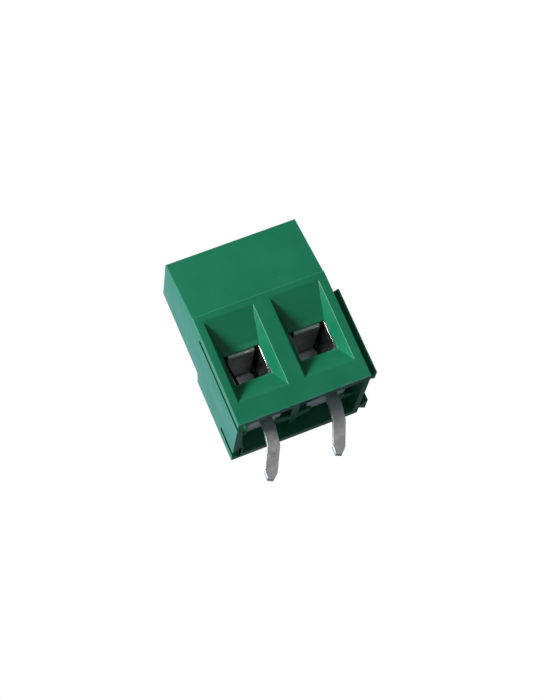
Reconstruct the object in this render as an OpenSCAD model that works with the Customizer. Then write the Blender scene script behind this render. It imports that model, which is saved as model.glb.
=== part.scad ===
// Screw terminal for a circuit board, two ways side by side. Turning a screw draws its
// clamp sleeve up, which squeezes the wire between the sleeve's floor and the contact bar.
// Frame: the origin lies on the board, midway between the two solder pins. +Z is up, the
// wires enter from -Y, and +X is the side with the interlock rails.

/* [Body] */
// Distance between the two ways
pitch = 5.08; // [5:0.01:7.62]
// Distance from the front face back to the pin row
front_to_pins = 3.1; // [2.6:0.05:4]
// Height of the body above the board
body_h = 13.5; // [12.8:0.05:18]
// Height of the upright front face
front_h = 8.55; // [7:0.05:10]
// How far the front plate stands proud of the sloped shoulder
crease_step = 0.12; // [0:0.01:0.3]
// How far back the shoulder reaches at the top
shoulder_d = 1.34; // [0.8:0.02:1.5]
// Wall behind the sleeves in the upper part
back_wall = 0.89; // [0.5:0.01:2]
// Wall behind the hollow in the lower part
rear_wall = 0.82; // [0.5:0.01:2]
// Free depth in the hollow behind the contact's foot
rear_room = 0.8; // [0.3:0.05:2]
// Roof over the contact's back leg
leg_roof = 0.55; // [0.3:0.05:1]
// Rise of the ledge between the lower and the upper back
ledge_rise = 0.25; // [0:0.05:0.6]

/* [Wire funnels] */
// Plastic left between the two funnels on the front face
funnel_bar = 1.28; // [0.8:0.02:1.8]
// Plastic left above the funnels
funnel_top = 0.5; // [0.3:0.05:1]
// Plastic left below the funnels
funnel_sill = 1.55; // [1:0.05:2.2]
// Depth of a funnel, from the front face to the sleeve's shaft
funnel_d = 1.25; // [0.9:0.05:2.5]
// Height of the wire opening's floor above the board
mouth_z = 3.2; // [2.9:0.05:4]
// Height of the wire opening at the funnel's inner end
mouth_h = 2.2; // [1.8:0.05:2.6]
// Play that the wire opening has over the sleeve's window, each side
mouth_play = 0.05; // [0:0.01:0.1]

/* [Screw wells] */
// How far the lip covers the screw head's edge
lip_reach = 0.2; // [0.1:0.05:0.4]
// Chamfer round the mouth of a well
well_chamfer = 0.3; // [0.1:0.05:0.35]

/* [Clamp sleeves] */
// Width of the sleeve's window, where the wire lies
window_w = 2.62; // [2.6:0.02:2.9]
// Free height for the wire with the clamp fully open
wire_h = 2.05; // [1.8:0.05:2.6]
// Thickness of the sleeve's sides
sleeve_wall = 0.35; // [0.25:0.01:0.35]
// Thickness of the sleeve's floor
sleeve_floor = 0.45; // [0.3:0.05:0.7]
// Thickness of the sleeve's threaded top
sleeve_top = 1.6; // [1.2:0.05:2.4]
// Length of the sleeve, front to back
sleeve_d = 4.6; // [4.3:0.05:6]
// Room between the contact bar and the sleeve's top with the clamp open
over_bar = 0.5; // [0.3:0.05:1]
// Gap left over the contact bar's underside with the clamp closed
closed_gap = 0.1; // [0.05:0.01:0.3]
// Chamfer at the top of the sleeve's threaded bore
bore_chamfer = 0.15; // [0.05:0.05:0.25]
// Outer radius of the sleeve's lower corners
sleeve_r = 0.75; // [0.5:0.05:1]
// Outer radius of the sleeve's upper corners
sleeve_top_r = 0.25; // [0.1:0.05:0.6]
// Depth of the grip grooves across the sleeve's floor
grip_depth = 0.12; // [0.05:0.01:0.2]
// Distance between grip grooves
grip_pitch = 0.8; // [0.5:0.05:1.2]
// Gap between the sleeve and its shaft in the body
sleeve_gap = 0.08; // [0.05:0.01:0.15]

/* [Contacts] */
// Thickness of the contact strip
strip_t = 0.6; // [0.5:0.05:0.9]
// Width of the contact bar inside the sleeve
bar_w = 2; // [1.4:0.05:2.2]
// Width of the leg behind the sleeve
leg_w = 2.2; // [1.4:0.05:2.6]
// Width of the foot below the sleeve
foot_w = 3; // [2.6:0.05:3.3]
// Inner radius of the strip's bends
bend_r = 0.25; // [0.1:0.05:0.4]
// How far the bar's nose stays behind the sleeve's front edge
nose_back = 0.15; // [0:0.05:0.4]
// Gap between the leg and the sleeve's shaft
leg_gap = 0.14; // [0.1:0.01:0.4]
// Gap where the contact sits in the body
seat_gap = 0.02; // [0.01:0.01:0.05]

/* [Solder pins] */
// Width of a pin
pin_w = 0.9; // [0.7:0.05:1.3]
// Straight length of a pin below the board plane
pin_straight = 0.1; // [0.05:0.05:3]
// Sideways lean of a pin's upper part, 0 for a straight pin
pin_ease = 10; // [0:0.5:20]
// Depth below the board at which the pins lean further
pin_turn = 1.45; // [0.2:0.05:3]
// Lean of the left pin's lower part, 0 for a straight pin
left_pin_lean = 28.5; // [0:0.5:30]
// Lean of the right pin's lower part, 0 for a straight pin
right_pin_lean = 24.5; // [0:0.5:30]
// Length of a pin's lower part, with its point
pin_lower = 2.5; // [1:0.05:4]
// Length of the tapered point
pin_point = 0.55; // [0.2:0.05:1]
// Width of the point's end
pin_tip_w = 0.45; // [0.2:0.05:0.7]

/* [Clamp screws] */
// Thread diameter
thread_d = 2.5; // [2:0.1:2.5]
// Radial gap between the thread and the sleeve's bore
thread_gap = 0.05; // [0.02:0.01:0.1]
// Diameter of the head
head_d = 3.8; // [3.4:0.05:4]
// Height of the head
head_h = 1.9; // [1.4:0.05:2.6]
// Radial gap between the head and its chamber
head_gap = 0.08; // [0.03:0.01:0.1]
// Width of the driver slot
slot_w = 0.8; // [0.5:0.05:1]
// Depth of the driver slot
slot_depth = 1; // [0.6:0.05:1.3]
// Chamfer round the head
head_chamfer = 0.2; // [0.05:0.05:0.4]
// Length of the tapered screw tip
tip_len = 0.4; // [0.2:0.05:0.8]
// Diameter of the flat end of the tip
tip_d = 1.8; // [1:0.1:1.9]

/* [Underside] */
// Outer wall beside the hollows
side_wall = 0.45; // [0.3:0.01:0.6]
// Front wall below the funnels
front_wall = 0.75; // [0.6:0.05:1]
// Height at which the front wall starts to thicken
front_wall_h = 1; // [0.6:0.05:1.4]
// Thickness of the divider between the hollows
divider_t = 0.55; // [0.4:0.05:0.9]
// How far the divider stays above the board
divider_lift = 0.76; // [0.3:0.02:1]
// Thickness of the lugs that hold the contacts
lug_t = 0.22; // [0.15:0.01:0.5]
// Thickness of a lug's edge, where the contact snaps past
lug_edge = 0.12; // [0.05:0.01:0.14]
// Depth of the lugs, front to back
lug_d = 0.9; // [0.5:0.05:1.5]
// How far a lug reaches under the contact's foot
lug_reach = 0.38; // [0.2:0.02:0.6]
// Distance from the lugs to the back of the foot
lug_back = 0.45; // [0.2:0.05:1]
// Width of the gate recess under the front wall
gate_w = 0.95; // [0.5:0.05:1.5]
// Depth of the gate recess
gate_depth = 0.3; // [0.1:0.05:0.5]

/* [Interlock] */
// How far the rails stand out
rail_out = 0.58; // [0.3:0.02:0.62]
// Width of a rail where it meets the body
rail_neck = 0.55; // [0.4:0.05:0.8]
// Width of the front rail's outer face
front_rail_head = 1.35; // [0.6:0.05:1.4]
// Width of the rear rail's outer face
rear_rail_head = 1.9; // [0.6:0.05:2]
// Distance from the front face to the front rail's middle
front_rail_y = 1.08; // [0.9:0.02:1.3]
// Top of the front rail above the board
front_rail_top = 7.05; // [4:0.05:7.5]
// Foot of the front rail above the board
front_rail_foot = 0.2; // [0:0.05:1]
// Distance from the rear face to the rear rail's middle
rear_rail_y = 1.37; // [1.3:0.01:2]
// Top of the rear rail above the board
rear_rail_top = 2.2; // [1.7:0.05:6]
// Gap between a rail and the next block's groove
rail_gap = 0.06; // [0.03:0.01:0.15]
// Plastic left round a groove where it passes a hollow
groove_skin = 0.2; // [0.15:0.01:0.4]

/* [Hidden] */
$fn = 64;
cut = 1; // how far a cutting shape runs past the face it opens

// across the ways
body_w = 2 * pitch;
way_x = pitch / 2;
sleeve_w = window_w + 2 * sleeve_wall;
shaft_w = sleeve_w + 2 * sleeve_gap;
funnel_w = pitch - funnel_bar;
mouth_w = window_w + 2 * mouth_play;

// front to back
front_y = -front_to_pins;
shaft_y0 = front_y + funnel_d;
sleeve_y0 = shaft_y0 + sleeve_gap;
sleeve_y1 = sleeve_y0 + sleeve_d;
shaft_y1 = sleeve_y1 + sleeve_gap;
screw_y = (sleeve_y0 + sleeve_y1) / 2;
upper_back_y = shaft_y1 + back_wall;
leg_y0 = shaft_y1 + leg_gap;
leg_y1 = leg_y0 + strip_t;
hollow_y1 = leg_y1 + rear_room;
rear_y = hollow_y1 + rear_wall;

// up from the board
foot_z0 = divider_lift + lug_t + seat_gap;
foot_z1 = foot_z0 + strip_t;
hollow_top = foot_z1 + seat_gap;
sleeve_z0 = mouth_z - sleeve_floor;
bar_z0 = mouth_z + wire_h;
bar_z1 = bar_z0 + strip_t;
window_top = bar_z1 + over_bar;
sleeve_z1 = window_top + sleeve_top;
stroke = wire_h - closed_gap;
shaft_top = sleeve_z1 + stroke + 2 * sleeve_gap;
head_z0 = shaft_top + seat_gap;
head_z1 = head_z0 + head_h;
chamber_top = head_z1 + head_gap;
lip_t = body_h - chamber_top;
ledge_z = bar_z1 + leg_gap + leg_roof;

// interlock, as distances along Y
front_rail_mid = front_y + front_rail_y;
rear_rail_mid = rear_y - rear_rail_y;

// A profile drawn in Y and Z, drawn out along X by w about x = 0
module along_x(w) {
    rotate([90, 0, 90]) linear_extrude(height = w, center = true) children();
}

// A profile drawn in X and Z, drawn out along Y from y0 by d
module along_y(y0, d) {
    translate([0, y0 + d, 0]) rotate([90, 0, 0]) linear_extrude(height = d) children();
}

// A flat rectangle whose lower and upper corners have their own radii
module rounded_rect(w, h, low_r, high_r) {
    difference() {
        translate([-w / 2, 0]) square([w, h]);
        for (side = [-1, 1]) {
            translate([side * w / 2, 0]) corner_cut(low_r, -side, 1);
            translate([side * w / 2, h]) corner_cut(high_r, -side, -1);
        }
    }
}

// What rounds one corner at the origin; sx and sy point into the shape
module corner_cut(r, sx, sy) {
    scale_sign = [sx, sy];
    difference() {
        translate([sx > 0 ? -cut : -r, sy > 0 ? -cut : -r]) square(r + cut);
        translate([scale_sign[0] * r, scale_sign[1] * r]) circle(r = r);
    }
}

// ---- housing ----

module outer_profile() {
    polygon([
        [front_y, 0], [front_y, front_h], [front_y + crease_step, front_h],
        [front_y + shoulder_d, body_h], [upper_back_y, body_h],
        [upper_back_y, ledge_z + ledge_rise], [rear_y, ledge_z], [rear_y, 0]
    ]);
}

// A funnel is where two wedges meet: one narrows in plan, one narrows from the side
module funnel() {
    top = front_h - funnel_top;
    intersection() {
        translate([0, 0, funnel_sill]) linear_extrude(height = top - funnel_sill)
            polygon([
                [-funnel_w / 2, front_y], [funnel_w / 2, front_y],
                [mouth_w / 2, shaft_y0], [-mouth_w / 2, shaft_y0]
            ]);
        along_x(funnel_w) polygon([
            [front_y, funnel_sill], [shaft_y0, mouth_z],
            [shaft_y0, mouth_z + mouth_h], [front_y, top]
        ]);
    }
}

// The funnel's mouth carried a little way into the shaft, and out past the front face
module funnel_cut() {
    funnel();
    translate([-mouth_w / 2, shaft_y0 - sleeve_gap, mouth_z])
        cube([mouth_w, 2 * sleeve_gap, mouth_h]);
}

module screw_well() {
    hole_r = head_d / 2 - lip_reach;
    translate([0, screw_y, 0]) {
        translate([0, 0, shaft_top - cut])
            cylinder(r = head_d / 2 + head_gap, h = chamber_top - shaft_top + cut);
        translate([0, 0, chamber_top - cut]) cylinder(r = hole_r, h = lip_t + 2 * cut);
        translate([0, 0, body_h - well_chamfer])
            cylinder(r1 = hole_r, r2 = hole_r + well_chamfer, h = well_chamfer + 0.001);
    }
}

module shaft() {
    translate([-shaft_w / 2, shaft_y0, hollow_top - cut])
        cube([shaft_w, shaft_y1 - shaft_y0, shaft_top - hollow_top + cut]);
    translate([-(leg_w + leg_gap) / 2, shaft_y1 - cut, hollow_top - cut])
        cube([leg_w + leg_gap, leg_y1 + leg_gap - shaft_y1 + cut,
              bar_z1 + leg_gap - hollow_top + cut]);
}

// The open hollow under one way; its front wall thickens towards the funnel's floor
module hollow(side) {
    inner = divider_t / 2;
    outer = pitch - side_wall;
    translate([side * (inner + outer) / 2, 0, 0]) along_x(outer - inner) polygon([
        [front_y + front_wall, -cut], [front_y + front_wall, front_wall_h],
        [shaft_y0, hollow_top], [hollow_y1, hollow_top], [hollow_y1, -cut]
    ]);
}

// One lug each side of a contact's foot, sloped below so that the foot snaps past it
module lugs(side) {
    inner = divider_t / 2;
    outer = pitch - side_wall;
    y0 = leg_y1 - lug_back - lug_d;
    foot_in = way_x - foot_w / 2;
    foot_out = way_x + foot_w / 2;
    for (span = [[inner, foot_in + lug_reach], [outer, foot_out - lug_reach]])
        translate([0, 0, divider_lift]) along_y(y0, lug_d) polygon([
            [side * span[0], 0], [side * span[0], lug_t],
            [side * span[1], lug_t], [side * span[1], lug_t - lug_edge]
        ]);
}

module dovetail(out, neck, head) {
    polygon([[-0.01, -neck / 2], [out, -head / 2], [out, head / 2], [-0.01, neck / 2]]);
}

module rail(y, head, z0, z1) {
    translate([body_w / 2, y, z0]) linear_extrude(height = z1 - z0)
        dovetail(rail_out, rail_neck, head);
}

module groove(y, head, z1, skin = 0) {
    grow = 2 * (rail_gap + skin);
    translate([-body_w / 2, y, -cut]) linear_extrude(height = z1 + rail_gap + cut)
        dovetail(rail_out + rail_gap + skin, rail_neck + grow, head + grow);
}

module groove_cut(y, head, z1) {
    groove(y, head, z1);
    translate([-body_w / 2 - cut, y - rail_neck / 2 - rail_gap, -cut])
        cube([cut + 0.01, rail_neck + 2 * rail_gap, z1 + rail_gap + cut]);
}

// Keeps the side whole where a groove passes a hollow
module groove_backing(y, head) {
    intersection() {
        groove(y, head, hollow_top, groove_skin);
        translate([-body_w / 2, front_y, 0])
            cube([body_w, rear_y - front_y, hollow_top + groove_skin]);
    }
}

module housing() {
    color("seagreen") difference() {
        union() {
            difference() {
                along_x(body_w) outer_profile();
                for (side = [-1, 1]) {
                    translate([side * way_x, 0, 0]) {
                        funnel_cut();
                        shaft();
                        screw_well();
                    }
                    hollow(side);
                }
                translate([-divider_t, front_y + front_wall, -cut])
                    cube([2 * divider_t, hollow_y1 - front_y - front_wall,
                          divider_lift + cut]);
            }
            for (side = [-1, 1]) lugs(side);
            rail(front_rail_mid, front_rail_head, front_rail_foot, front_rail_top);
            rail(rear_rail_mid, rear_rail_head, 0, rear_rail_top);
            groove_backing(front_rail_mid, front_rail_head);
            groove_backing(rear_rail_mid, rear_rail_head);
        }
        groove_cut(front_rail_mid, front_rail_head, front_rail_top);
        groove_cut(rear_rail_mid, rear_rail_head, rear_rail_top);
        translate([0, front_y + front_wall / 2, -cut]) gate_recess();
    }
}

module gate_recess() {
    r = front_wall / 5;
    linear_extrude(height = gate_depth + cut) {
        square([gate_w - 2 * r, 2 * r], center = true);
        for (side = [-1, 1]) translate([side * (gate_w / 2 - r), 0]) circle(r = r);
    }
}

// ---- clamp sleeve ----

module sleeve(x) {
    bore_r = thread_d / 2 + thread_gap;
    color("silver") translate([x, 0, 0]) difference() {
        translate([0, 0, sleeve_z0]) along_y(sleeve_y0, sleeve_d)
            rounded_rect(sleeve_w, sleeve_z1 - sleeve_z0, sleeve_r, sleeve_top_r);
        translate([0, 0, mouth_z]) along_y(sleeve_y0 - cut, sleeve_d + 2 * cut)
            rounded_rect(window_w, window_top - mouth_z, sleeve_r - sleeve_wall, 0.1);
        translate([0, screw_y, window_top - cut])
            cylinder(r = bore_r, h = sleeve_top + 2 * cut);
        translate([0, screw_y, sleeve_z1 - bore_chamfer])
            cylinder(r1 = bore_r, r2 = bore_r + bore_chamfer, h = bore_chamfer + 0.001);
        for (k = [-2 : 2])
            translate([0, screw_y + k * grip_pitch, mouth_z]) along_x(window_w - sleeve_wall)
                polygon([[-grip_depth, 0.01], [0, -grip_depth], [grip_depth, 0.01]]);
    }
}

// ---- contact strip ----

// A quarter bend about [y, z]; sy and sz point to the quarter that it fills
module bend(w, y, z, sy, sz) {
    r = bend_r + strip_t;
    intersection() {
        translate([0, y, z]) rotate([0, 90, 0]) difference() {
            cylinder(r = r, h = w, center = true);
            cylinder(r = bend_r, h = w + cut, center = true);
        }
        translate([-w / 2, sy > 0 ? y : y - r, sz > 0 ? z : z - r]) cube([w, r, r]);
    }
}

// A straight run of strip, w wide, from [y0, z0] to [y1, z1]
module run(w, y0, z0, y1, z1) {
    translate([-w / 2, y0, z0]) cube([w, y1 - y0, z1 - z0]);
}

// Directions in X and Z: down a part that leans by a, and across it
function down(a) = [-sin(a), -cos(a)];
function across(a) = [cos(a), -sin(a)];
// Where the edge w beside the middle line turns at p from lean a to lean b
function turn(p, a, b, w) = p + across((a + b) / 2) * w / cos((b - a) / 2);

module pin_shape(lean) {
    half = pin_w / 2;
    tip_half = pin_tip_w / 2;
    top = foot_z0 + strip_t / 2;
    upper = [0, -pin_straight];
    lower = upper + down(pin_ease) * (pin_turn - pin_straight) / cos(pin_ease);
    taper = lower + down(lean) * (pin_lower - pin_point);
    tip = lower + down(lean) * pin_lower;
    polygon([
        [-half, top], turn(upper, 0, pin_ease, -half), turn(lower, pin_ease, lean, -half),
        taper - across(lean) * half, tip - across(lean) * tip_half,
        tip + across(lean) * tip_half, taper + across(lean) * half,
        turn(lower, pin_ease, lean, half), turn(upper, 0, pin_ease, half), [half, top]
    ]);
}

module contact(x, lean) {
    r = bend_r + strip_t;
    nose_y = sleeve_y0 + nose_back;
    color("gainsboro") translate([x, 0, 0]) difference() {
        union() {
            run(bar_w, nose_y, bar_z0, leg_y1 - r, bar_z1);
            bend(bar_w, leg_y1 - r, bar_z1 - r, 1, 1);
            run(leg_w, leg_y0, foot_z0 + r, leg_y1, bar_z1 - r);
            bend(leg_w, leg_y1 - r, foot_z0 + r, 1, -1);
            run(foot_w, strip_t / 2, foot_z0, leg_y1 - r, foot_z1);
            run(pin_w + 2 * bend_r, -strip_t / 2, foot_z0, strip_t / 2, foot_z1);
            along_y(-strip_t / 2, strip_t) pin_shape(lean);
        }
        // lead-in under the bar's nose
        translate([0, nose_y, bar_z0]) along_x(bar_w + cut)
            polygon([[-cut, -cut], [strip_t / 4 + 0.001, -cut], [strip_t / 4, 0],
                     [0, strip_t / 4], [-cut, strip_t / 4]]);
    }
}

// ---- clamp screw ----

module screw(x) {
    tip_z = bar_z1 + seat_gap;
    head_r = head_d / 2;
    color("lightgray") translate([x, screw_y, 0]) difference() {
        rotate_extrude() polygon([
            [0, tip_z], [tip_d / 2, tip_z], [thread_d / 2, tip_z + tip_len],
            [thread_d / 2, head_z0], [head_r, head_z0],
            [head_r, head_z1 - head_chamfer], [head_r - head_chamfer, head_z1], [0, head_z1]
        ]);
        translate([-slot_w / 2, -head_r - cut, head_z1 - slot_depth])
            cube([slot_w, head_d + 2 * cut, slot_depth + cut]);
    }
}

module sleeve_left() { sleeve(-way_x); }
module sleeve_right() { sleeve(way_x); }
module contact_left() { contact(-way_x, left_pin_lean); }
module contact_right() { contact(way_x, right_pin_lean); }
module screw_left() { screw(-way_x); }
module screw_right() { screw(way_x); }

housing();
sleeve_left();
sleeve_right();
contact_left();
contact_right();
screw_left();
screw_right();
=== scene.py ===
import math

import bmesh
import bpy
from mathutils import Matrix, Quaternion, Vector


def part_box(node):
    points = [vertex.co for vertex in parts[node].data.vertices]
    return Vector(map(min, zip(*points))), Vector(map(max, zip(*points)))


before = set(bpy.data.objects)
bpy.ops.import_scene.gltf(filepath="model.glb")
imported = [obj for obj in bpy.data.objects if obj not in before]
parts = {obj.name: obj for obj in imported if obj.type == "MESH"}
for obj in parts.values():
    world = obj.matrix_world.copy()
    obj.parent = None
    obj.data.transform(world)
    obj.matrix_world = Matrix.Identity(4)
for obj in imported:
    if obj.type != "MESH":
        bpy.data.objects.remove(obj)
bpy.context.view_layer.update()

scene = bpy.context.scene
print("terminal block loaded:", len(parts), "parts")


# small helpers for node work

def newMaterial(name):
    # an empty node tree with a Principled shader wired to the output
    material = bpy.data.materials.new(name)
    material.use_nodes = True
    nodes, links = material.node_tree.nodes, material.node_tree.links
    nodes.clear()
    output = nodes.new("ShaderNodeOutputMaterial")
    shader = nodes.new("ShaderNodeBsdfPrincipled")
    links.new(shader.outputs["BSDF"], output.inputs["Surface"])
    return material, nodes, links, shader


def millimetreSpace(nodes, links):
    # object coordinates in millimetres, so that every scale below reads per millimetre
    coords = nodes.new("ShaderNodeTexCoord")
    scaled = nodes.new("ShaderNodeVectorMath")
    scaled.operation = "SCALE"
    scaled.inputs["Scale"].default_value = 1000.0
    links.new(coords.outputs["Object"], scaled.inputs[0])
    return scaled.outputs[0]


def stretched(nodes, links, space, stretch):
    mapping = nodes.new("ShaderNodeMapping")
    mapping.inputs["Scale"].default_value = stretch
    links.new(space, mapping.inputs["Vector"])
    return mapping.outputs["Vector"]


def noise(nodes, links, space, perMm, detail=3.0, roughness=0.5):
    texture = nodes.new("ShaderNodeTexNoise")
    texture.inputs["Scale"].default_value = perMm
    texture.inputs["Detail"].default_value = detail
    texture.inputs["Roughness"].default_value = roughness
    links.new(space, texture.inputs["Vector"])
    return texture.outputs["Fac"]


def remap(nodes, links, value, fromLow, fromHigh, toLow, toHigh):
    node = nodes.new("ShaderNodeMapRange")
    node.interpolation_type = "SMOOTHSTEP"
    node.inputs["From Min"].default_value = fromLow
    node.inputs["From Max"].default_value = fromHigh
    node.inputs["To Min"].default_value = toLow
    node.inputs["To Max"].default_value = toHigh
    links.new(value, node.inputs["Value"])
    return node.outputs["Result"]


def maths(nodes, links, operation, first, second):
    node = nodes.new("ShaderNodeMath")
    node.operation = operation
    for socket, value in zip(node.inputs, (first, second)):
        if isinstance(value, (int, float)):
            socket.default_value = value
        else:
            links.new(value, socket)
    return node.outputs[0]


def blendColour(nodes, links, amount, low, high, mode="MIX"):
    node = nodes.new("ShaderNodeMix")
    node.data_type = "RGBA"
    node.blend_type = mode
    if isinstance(amount, (int, float)):
        node.inputs[0].default_value = amount
    else:
        links.new(amount, node.inputs[0])
    for socket, value in ((node.inputs[6], low), (node.inputs[7], high)):
        if isinstance(value, (tuple, list)):
            socket.default_value = (*value, 1.0)
        else:
            links.new(value, socket)
    return node.outputs[2]


def relief(nodes, links, shader, layers):
    # several bumps one after another, each (height, strength, depth in metres)
    last = None
    for height, strength, depth in layers:
        bump = nodes.new("ShaderNodeBump")
        bump.inputs["Strength"].default_value = strength
        bump.inputs["Distance"].default_value = depth
        links.new(height, bump.inputs["Height"])
        if last:
            links.new(last, bump.inputs["Normal"])
        last = bump.outputs["Normal"]
    links.new(last, shader.inputs["Normal"])


def edgeMask(nodes, links, reach, low, high):
    # 1 on outside corners, 0 on flats: inside the solid, a corner is where rays are stopped soonest
    inside = nodes.new("ShaderNodeAmbientOcclusion")
    inside.inside = True
    inside.only_local = True
    inside.samples = 8
    inside.inputs["Distance"].default_value = reach
    return remap(nodes, links, inside.outputs["AO"], low, high, 1.0, 0.0)


cornerStyle = {
    "cornerAngle": 25,  # degrees between faces from which an edge is rounded
    "fullLength": 0.0003,  # shorter edges get less than the whole radius
    "segments": 2,
    "weldGap": 2e-6,
    "flatAngle": 0.5,
    "flatness": 60,  # how far the large faces pull the shading
}


def markEdges(style):
    # node group: every corner gets a bevel weight that fades on short edges
    group = bpy.data.node_groups.new("markEdges", "GeometryNodeTree")
    group.interface.new_socket("Geometry", in_out="INPUT", socket_type="NodeSocketGeometry")
    group.interface.new_socket("Geometry", in_out="OUTPUT", socket_type="NodeSocketGeometry")
    nodes, links = group.nodes, group.links
    start, end = nodes.new("NodeGroupInput"), nodes.new("NodeGroupOutput")
    fold = nodes.new("GeometryNodeInputMeshEdgeAngle")
    ends = nodes.new("GeometryNodeInputMeshEdgeVertices")
    span = nodes.new("ShaderNodeVectorMath")
    span.operation = "DISTANCE"
    links.new(ends.outputs["Position 1"], span.inputs[0])
    links.new(ends.outputs["Position 2"], span.inputs[1])
    corner = maths(nodes, links, "GREATER_THAN", fold.outputs["Unsigned Angle"], math.radians(style["cornerAngle"]))
    share = maths(nodes, links, "DIVIDE", span.outputs["Value"], style["fullLength"])
    share = maths(nodes, links, "MINIMUM", share, 1.0)
    store = nodes.new("GeometryNodeStoreNamedAttribute")
    store.data_type, store.domain = "FLOAT", "EDGE"
    store.inputs["Name"].default_value = "bevel_weight_edge"
    links.new(start.outputs[0], store.inputs["Geometry"])
    links.new(maths(nodes, links, "MULTIPLY", corner, share), store.inputs["Value"])
    links.new(store.outputs["Geometry"], end.inputs[0])
    return group


cornerMarks = markEdges(cornerStyle)


def rounded(part, width, style=cornerStyle):
    # weld, clear flat diagonals, then a small radius on every corner
    weld = part.modifiers.new("joinCorners", "WELD")
    weld.merge_threshold = style["weldGap"]
    flat = part.modifiers.new("clearDiagonals", "DECIMATE")
    flat.decimate_type = "DISSOLVE"
    flat.angle_limit = math.radians(style["flatAngle"])
    marks = part.modifiers.new("markEdges", "NODES")
    marks.node_group = cornerMarks
    bevel = part.modifiers.new("edgeRadius", "BEVEL")
    bevel.width = width
    bevel.segments = style["segments"]
    bevel.limit_method = "WEIGHT"
    bevel.harden_normals = False
    bevel.use_clamp_overlap = False  # short edges already have less weight
    even = part.modifiers.new("evenShading", "WEIGHTED_NORMAL")
    even.keep_sharp = True
    even.weight = style["flatness"]


def dress(part, material):
    part.data.materials.clear()
    part.data.materials.append(material)
    for face in part.data.polygons:
        face.material_index = 0
        face.use_smooth = True


# housing: satin green moulding

housingLook = {
    "green": (0.0052, 0.186, 0.086),
    "deepGreen": (0.0046, 0.170, 0.078),
    # paler lit green: a little goes into the random grain, the rest is painted highlight on the corners
    "paleGrainAndHighlightGreen": (0.030, 0.300, 0.180),
    # bluish grey of the painted sheen line on the front wall's bottom rim
    "bluishSheen": (0.10, 0.16, 0.22),
    "dust": (0.30, 0.52, 0.42),
    "roughness": 0.36,
    "cloudPerMm": 0.30,
    "grainPerMm": 9.0,
    "flowStretch": (0.9, 0.9, 0.14),
    "finePerMm": 24.0,
    "highlightPatchPerMm": 1.3,
    "speckPerMm": 2.6,
    "edgeReach": 0.00022,
    "radius": 0.000055,
}


def housingPlastic(look):
    material, nodes, links, shader = newMaterial("housingPlastic")
    space = millimetreSpace(nodes, links)
    cloud = noise(nodes, links, space, look["cloudPerMm"], 4.0, 0.55)
    flow = noise(nodes, links, stretched(nodes, links, space, look["flowStretch"]), 1.6, 3.0)
    grain = noise(nodes, links, space, look["grainPerMm"], 2.0, 0.6)
    fine = noise(nodes, links, space, look["finePerMm"], 1.0)

    # pigment drifts a little through the moulding, with faint flow streaks
    drift = maths(nodes, links, "ADD", maths(nodes, links, "MULTIPLY", cloud, 0.65),
                  maths(nodes, links, "MULTIPLY", flow, 0.35))
    body = blendColour(nodes, links, remap(nodes, links, drift, 0.36, 0.64, 0.0, 1.0),
                       look["deepGreen"], look["green"])
    body = blendColour(nodes, links, remap(nodes, links, grain, 0.35, 0.75, 0.0, 0.04),
                       body, look["paleGrainAndHighlightGreen"])

    # outside corners get a painted highlight, a paler lit green laid in uneven patches along the edges
    corners = edgeMask(nodes, links, look["edgeReach"], 0.50, 0.85)
    highlightPatchNoise = noise(nodes, links, space, look["highlightPatchPerMm"], 5.0, 0.65)
    uneven = remap(nodes, links, highlightPatchNoise, 0.38, 0.66, 0.10, 0.62)
    paintedEdgeHighlight = maths(nodes, links, "MULTIPLY", corners, uneven)
    body = blendColour(nodes, links, paintedEdgeHighlight, body, look["paleGrainAndHighlightGreen"])

    # a few specks of dust
    speck = nodes.new("ShaderNodeTexVoronoi")
    speck.inputs["Scale"].default_value = look["speckPerMm"]
    speck.inputs["Randomness"].default_value = 1.0
    links.new(space, speck.inputs["Vector"])
    nick = remap(nodes, links, speck.outputs["Distance"], 0.035, 0.075, 1.0, 0.0)
    rare = remap(nodes, links, noise(nodes, links, space, 0.55, 1.0), 0.60, 0.68, 0.0, 0.7)
    nick = maths(nodes, links, "MULTIPLY", nick, rare)
    body = blendColour(nodes, links, nick, body, look["dust"])

    # painted reflection: a ragged bluish sheen line along the front wall's bottom rim, with the roughness raised
    # there
    axes = nodes.new("ShaderNodeSeparateXYZ")
    links.new(space, axes.inputs[0])
    sheenLine = maths(nodes, links, "MULTIPLY", remap(nodes, links, axes.outputs["Z"], 0.02, 0.16, 1.0, 0.0),
                remap(nodes, links, axes.outputs["Y"], -2.45, -2.25, 1.0, 0.0))
    sheenBreakup = noise(nodes, links, stretched(nodes, links, space, (1.0, 3.0, 3.0)), 1.5, 6.0, 0.7)
    sheenLine = maths(nodes, links, "MULTIPLY", sheenLine, remap(nodes, links, sheenBreakup, 0.46, 0.58, 0.0, 0.75))
    body = blendColour(nodes, links, sheenLine, body, look["bluishSheen"])
    links.new(body, shader.inputs["Base Color"])

    rough = remap(nodes, links, cloud, 0.3, 0.7, look["roughness"] - 0.05, look["roughness"] + 0.07)
    rough = maths(nodes, links, "ADD", rough, maths(nodes, links, "MULTIPLY", grain, 0.06))
    rough = maths(nodes, links, "ADD", rough, maths(nodes, links, "MULTIPLY", sheenLine, 0.3))
    links.new(rough, shader.inputs["Roughness"])
    shader.inputs["IOR"].default_value = 1.52
    shader.inputs["Specular IOR Level"].default_value = 0.5
    relief(nodes, links, shader, [(cloud, 0.06, 0.00004), (grain, 0.12, 0.000006), (fine, 0.12, 0.000003)])
    return material


dress(parts["housing"], housingPlastic(housingLook))
rounded(parts["housing"], housingLook["radius"])
print("housing moulded and coloured")


# clamp sleeves: nickel plated steel

sleeveLook = {
    "nickel": (0.60, 0.60, 0.58),
    "stain": (0.34, 0.35, 0.38),
    # bright nickel of the painted edge highlight
    "edgeHighlightNickel": (0.82, 0.82, 0.80),
    "roughness": 0.27,
    "brushStretch": (1.0, 1.0, 14.0),
    "edgeReach": 0.00018,
    "radius": 0.00004,
}


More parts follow.
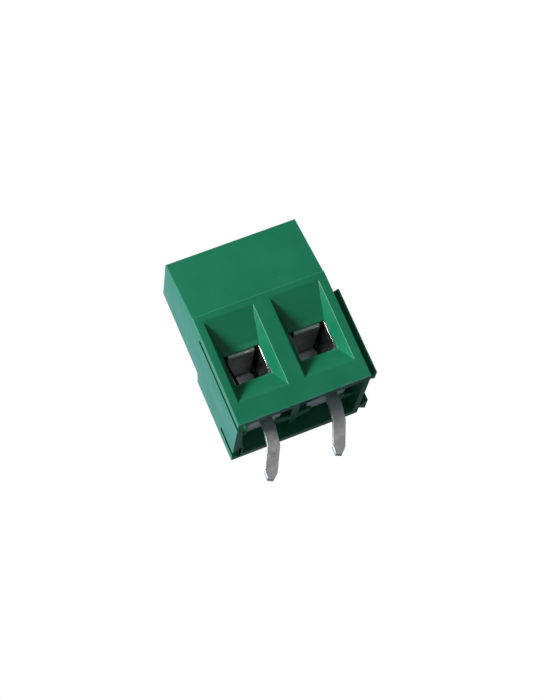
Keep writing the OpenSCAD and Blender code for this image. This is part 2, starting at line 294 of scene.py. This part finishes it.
def sleevePlating(look):
    material, nodes, links, shader = newMaterial("sleevePlating")
    space = millimetreSpace(nodes, links)
    brush = noise(nodes, links, stretched(nodes, links, space, look["brushStretch"]), 1.1, 4.0, 0.6)
    patch = noise(nodes, links, space, 0.9, 4.0, 0.6)
    stained = remap(nodes, links, patch, 0.35, 0.70, 0.0, 0.8)
    colour = blendColour(nodes, links, stained, look["nickel"], look["stain"])
    # outside corners get a painted highlight: brighter nickel along every edge
    corners = edgeMask(nodes, links, look["edgeReach"], 0.50, 0.85)
    paintedEdgeGlint = maths(nodes, links, "MULTIPLY", corners, 0.6)
    colour = blendColour(nodes, links, paintedEdgeGlint, colour, look["edgeHighlightNickel"])
    links.new(colour, shader.inputs["Base Color"])
    shader.inputs["Metallic"].default_value = 1.0
    rough = remap(nodes, links, brush, 0.3, 0.7, look["roughness"] - 0.07, look["roughness"] + 0.12)
    links.new(rough, shader.inputs["Roughness"])
    relief(nodes, links, shader, [(brush, 0.25, 0.000008), (patch, 0.3, 0.00003)])
    return material


nickel = sleevePlating(sleeveLook)
for side in ("left", "right"):
    dress(parts["sleeve_" + side], nickel)
    rounded(parts["sleeve_" + side], sleeveLook["radius"])
print("sleeves plated")


# contacts: tin plated brass strip, pins scraped by the shear

contactLook = {
    "tin": (0.86, 0.88, 0.86),
    "dullTin": (0.78, 0.80, 0.78),
    "streakTin": (0.66, 0.67, 0.65),
    "brass": (0.50, 0.36, 0.16),
    "roughness": 0.44,
    "streakStretch": (7.0, 7.0, 0.7),
    "edgeReach": 0.00014,
    "radius": 0.00003,
}


def contactTin(look):
    material, nodes, links, shader = newMaterial("contactTin")
    space = millimetreSpace(nodes, links)
    streak = noise(nodes, links, stretched(nodes, links, space, look["streakStretch"]), 1.5, 4.0, 0.6)
    bloom = noise(nodes, links, space, 1.4, 5.0, 0.62)
    fleck = noise(nodes, links, space, 11.0, 2.0, 0.6)
    dulled = remap(nodes, links, bloom, 0.35, 0.68, 0.0, 1.0)
    colour = blendColour(nodes, links, dulled, look["tin"], look["dullTin"])
    streaked = remap(nodes, links, streak, 0.56, 0.72, 0.0, 0.35)
    colour = blendColour(nodes, links, streaked, colour, look["streakTin"])
    corners = edgeMask(nodes, links, look["edgeReach"], 0.50, 0.85)
    bare = maths(nodes, links, "MULTIPLY", corners, remap(nodes, links, bloom, 0.50, 0.66, 0.0, 0.35))
    colour = blendColour(nodes, links, bare, colour, look["brass"])
    links.new(colour, shader.inputs["Base Color"])
    shader.inputs["Metallic"].default_value = 1.0
    rough = remap(nodes, links, bloom, 0.3, 0.7, look["roughness"] - 0.08, look["roughness"] + 0.10)
    rough = maths(nodes, links, "ADD", rough, maths(nodes, links, "MULTIPLY", fleck, 0.06))
    links.new(rough, shader.inputs["Roughness"])
    relief(nodes, links, shader, [(bloom, 0.25, 0.00003), (streak, 0.25, 0.000008), (fleck, 0.2, 0.000004)])
    return material


tin = contactTin(contactLook)
for side in ("left", "right"):
    dress(parts["contact_" + side], tin)
    rounded(parts["contact_" + side], contactLook["radius"])
print("contacts tinned")


# clamp screws: zinc plated, turned heads

screwLook = {
    "zinc": (0.66, 0.67, 0.68),
    "zincShade": (0.44, 0.46, 0.50),
    "roughness": 0.26,
    "ringsPerMm": 2.2,
    "radius": 0.00004,
}


def screwZinc(look, centre):
    material, nodes, links, shader = newMaterial("screwZinc")
    space = millimetreSpace(nodes, links)
    offset = nodes.new("ShaderNodeVectorMath")
    offset.operation = "SUBTRACT"
    offset.inputs[1].default_value = centre
    links.new(space, offset.inputs[0])
    rings = nodes.new("ShaderNodeTexWave")
    rings.wave_type = "RINGS"
    rings.rings_direction = "Z"
    rings.inputs["Scale"].default_value = look["ringsPerMm"]
    rings.inputs["Distortion"].default_value = 1.2
    rings.inputs["Detail"].default_value = 3.0
    rings.inputs["Detail Scale"].default_value = 2.0
    links.new(offset.outputs[0], rings.inputs["Vector"])
    patch = noise(nodes, links, space, 1.1, 4.0, 0.6)
    shaded = remap(nodes, links, patch, 0.35, 0.7, 0.0, 0.9)
    colour = blendColour(nodes, links, shaded, look["zinc"], look["zincShade"])
    links.new(colour, shader.inputs["Base Color"])
    shader.inputs["Metallic"].default_value = 1.0
    rough = remap(nodes, links, patch, 0.3, 0.7, look["roughness"] - 0.06, look["roughness"] + 0.1)
    links.new(rough, shader.inputs["Roughness"])
    relief(nodes, links, shader, [(rings.outputs["Fac"], 0.3, 0.00001), (patch, 0.2, 0.00002)])
    return material


for side in ("left", "right"):
    low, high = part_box("screw_" + side)
    middle = (low + high) / 2 * 1000
    dress(parts["screw_" + side], screwZinc(screwLook, middle))
    rounded(parts["screw_" + side], screwLook["radius"])
print("screws plated")


# stage: pale floor under the pin tips, white surround, soft lamps

studio = {
    "floorColour": (0.80, 0.81, 0.82),
    "floorBounce": (0.20, 0.20, 0.20),  # what the floor throws back at the block
    "floorHalf": 0.35,
    "floorGap": 0.00002,
    "roomFront": (0.13, 0.13, 0.13),
    "roomBack": (0.50, 0.68, 0.96),
    "roomUnder": 0.35,
    "aim": (0.0, 0.001, 0.006),
    "key": {"place": (-0.21, -0.137, 0.074), "size": 0.10, "power": 0.95},
    "top": {"place": (0.05, 0.08, 0.25), "size": 0.22, "power": 0.12},
}


def paleFloor(look, level):
    mesh = bpy.data.meshes.new("floor")
    work = bmesh.new()
    bmesh.ops.create_grid(work, x_segments=2, y_segments=2, size=look["floorHalf"])
    work.to_mesh(mesh)
    work.free()
    floor = bpy.data.objects.new("floor", mesh)
    scene.collection.objects.link(floor)
    floor.location.z = level
    material, nodes, links, shader = newMaterial("paleFloor")
    space = millimetreSpace(nodes, links)
    tone = noise(nodes, links, space, 0.02, 3.0)
    colour = blendColour(nodes, links, remap(nodes, links, tone, 0.3, 0.7, 0.0, 1.0),
                         look["floorColour"], tuple(c * 0.97 for c in look["floorColour"]))
    links.new(colour, shader.inputs["Base Color"])
    shader.inputs["Roughness"].default_value = 0.8
    # a one-sided sheet, pale where it is looked at and dim in what it throws back
    dim = nodes.new("ShaderNodeBsdfDiffuse")
    dim.inputs["Color"].default_value = (*look["floorBounce"], 1)
    path = nodes.new("ShaderNodeLightPath")
    seen = nodes.new("ShaderNodeMixShader")
    links.new(path.outputs["Is Camera Ray"], seen.inputs[0])
    links.new(dim.outputs[0], seen.inputs[1])
    links.new(shader.outputs[0], seen.inputs[2])
    side = nodes.new("ShaderNodeNewGeometry")
    clear = nodes.new("ShaderNodeBsdfTransparent")
    choose = nodes.new("ShaderNodeMixShader")
    links.new(side.outputs["Backfacing"], choose.inputs[0])
    links.new(seen.outputs[0], choose.inputs[1])
    links.new(clear.outputs[0], choose.inputs[2])
    output = next(n for n in nodes if n.type == "OUTPUT_MATERIAL")
    links.new(choose.outputs[0], output.inputs["Surface"])
    mesh.materials.append(material)


def whiteSurround(look):
    world = bpy.data.worlds.new("surround")
    scene.world = world
    world.use_nodes = True
    nodes, links = world.node_tree.nodes, world.node_tree.links
    nodes.clear()
    output = nodes.new("ShaderNodeOutputWorld")
    seen = nodes.new("ShaderNodeBackground")
    seen.inputs["Color"].default_value = (1, 1, 1, 1)
    room = nodes.new("ShaderNodeBackground")
    mix = nodes.new("ShaderNodeMixShader")
    path = nodes.new("ShaderNodeLightPath")
    coords = nodes.new("ShaderNodeTexCoord")
    axes = nodes.new("ShaderNodeSeparateXYZ")
    links.new(coords.outputs["Generated"], axes.inputs[0])
    # grey in front, pale and cool behind the block, dark under it
    depth = remap(nodes, links, axes.outputs["Y"], -0.7, 0.8, 0.0, 1.0)
    tint = blendColour(nodes, links, depth, look["roomFront"], look["roomBack"])
    under = remap(nodes, links, axes.outputs["Z"], -0.22, 0.05, look["roomUnder"], 1.0)
    links.new(under, room.inputs["Strength"])
    links.new(tint, room.inputs["Color"])
    direct = maths(nodes, links, "MAXIMUM", path.outputs["Is Camera Ray"], path.outputs["Is Transmission Ray"])
    links.new(direct, mix.inputs[0])
    links.new(room.outputs[0], mix.inputs[1])
    links.new(seen.outputs[0], mix.inputs[2])
    links.new(mix.outputs[0], output.inputs["Surface"])


def softLamp(name, target, look):
    lamp = bpy.data.lights.new(name, "AREA")
    lamp.shape = "DISK"
    lamp.size = look["size"]
    lamp.energy = look["power"]
    holder = bpy.data.objects.new(name, lamp)
    scene.collection.objects.link(holder)
    holder.location = look["place"]
    aim = Vector(target) - Vector(look["place"])
    holder.rotation_euler = aim.to_track_quat("-Z", "Y").to_euler()


tips = min(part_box("contact_left")[0].z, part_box("contact_right")[0].z)
paleFloor(studio, tips - studio["floorGap"])
whiteSurround(studio)
softLamp("keyLamp", studio["aim"], studio["key"])
softLamp("topLamp", studio["aim"], studio["top"])
print("stage lit")


# camera

view = {
    "place": (-0.0280409, -0.1282714, -0.0334735),
    "turn": (0.569093, 0.796901, 0.081144, -0.185735),
    "focalLength": 97.752,
    "sensorWidth": 36.0,
}

lens = bpy.data.cameras.new("lens")
lens.sensor_width = view["sensorWidth"]
lens.lens = view["focalLength"]
lens.clip_start, lens.clip_end = 0.005, 5.0
viewer = bpy.data.objects.new("viewer", lens)
scene.collection.objects.link(viewer)
viewer.location = view["place"]
viewer.rotation_mode = "QUATERNION"
viewer.rotation_quaternion = Quaternion(view["turn"])
scene.camera = viewer
scene.view_settings.view_transform = "Standard"
print("camera placed")
